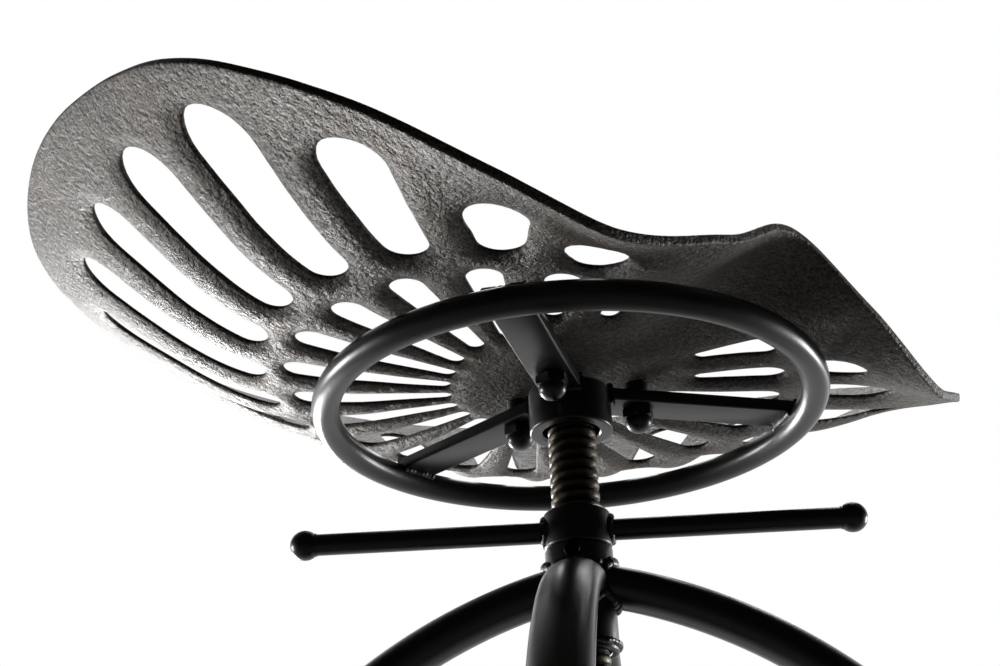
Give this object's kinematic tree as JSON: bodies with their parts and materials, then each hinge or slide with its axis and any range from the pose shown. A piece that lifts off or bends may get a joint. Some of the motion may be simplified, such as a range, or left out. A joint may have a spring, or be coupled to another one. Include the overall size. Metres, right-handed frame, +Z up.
{
  "type": "tractor seat stool",
  "caption": "Bar stool with a slotted cast iron tractor seat that swivels on a lifting screw, wound up and down by a crossbar nut in a base of bent tube legs with a foot ring.",
  "frame": {"origin": "on the floor, under the middle of the stool's box", "axes": "+Z up, -Y towards the sitter's knees, X from side to side; the screw's axis is upright"},
  "size_m": [0.478, 0.4636, 0.7448],
  "materials": {
    "raw_cast_iron": "rough sand-cast, dark grey brown",
    "black_paint": "glossy black paint",
    "oiled_steel": "bare machined steel, oiled and darkened",
    "bush_bronze": "plain turned bronze",
    "foot_rubber": "matt moulded rubber"
  },
  "bodies": {
    "base": {"base_sleeve": "black_paint", "key_screw": "oiled_steel", "leg_1": "black_paint", "leg_2": "black_paint", "leg_3": "black_paint", "leg_4": "black_paint", "foot_1": "foot_rubber", "foot_2": "foot_rubber", "foot_3": "foot_rubber", "foot_4": "foot_rubber", "foot_ring": "black_paint"},
    "handle": {"handle_nut": "black_paint", "handle_rod_right": "black_paint", "handle_rod_left": "black_paint", "handle_ball_right": "black_paint", "handle_ball_left": "black_paint"},
    "screw": {"lift_screw": "oiled_steel", "stop_washer": "oiled_steel", "stop_bolt": "oiled_steel", "thrust_washer": "bush_bronze", "retainer_washer": "oiled_steel", "retainer_nut": "oiled_steel"},
    "seat": {"seat": "raw_cast_iron", "seat_ring": "black_paint", "seat_hub": "black_paint", "hub_bush": "bush_bronze", "seat_bar_1": "black_paint", "seat_bar_2": "black_paint", "seat_bar_3": "black_paint", "seat_spacer_1": "black_paint", "seat_spacer_2": "black_paint", "seat_spacer_3": "black_paint", "seat_bolt_1": "oiled_steel", "seat_bolt_2": "oiled_steel", "seat_bolt_3": "oiled_steel", "dome_nut_1": "black_paint", "dome_nut_2": "black_paint", "dome_nut_3": "black_paint"}
  },
  "joints": [
    {"name": "nut_turn", "type": "hinge", "parent": "base", "child": "handle", "pos_m": [0, -0.03005, 0.581], "axis": [0, 0, 1], "range_deg": [-7200, 2520]},
    {"name": "seat_lift", "type": "slide", "parent": "base", "child": "screw", "axis": [0, 0, 1], "range_m": [-0.035, 0.1]},
    {"name": "seat_swivel", "type": "hinge", "parent": "screw", "child": "seat", "pos_m": [0, -0.03005, 0.6364], "axis": [0, 0, 1], "continuous": true}
  ],
  "couplings": [
    {"joint": "seat_lift", "follows": "nut_turn", "m_per_rad": -0.00079577}
  ]
}
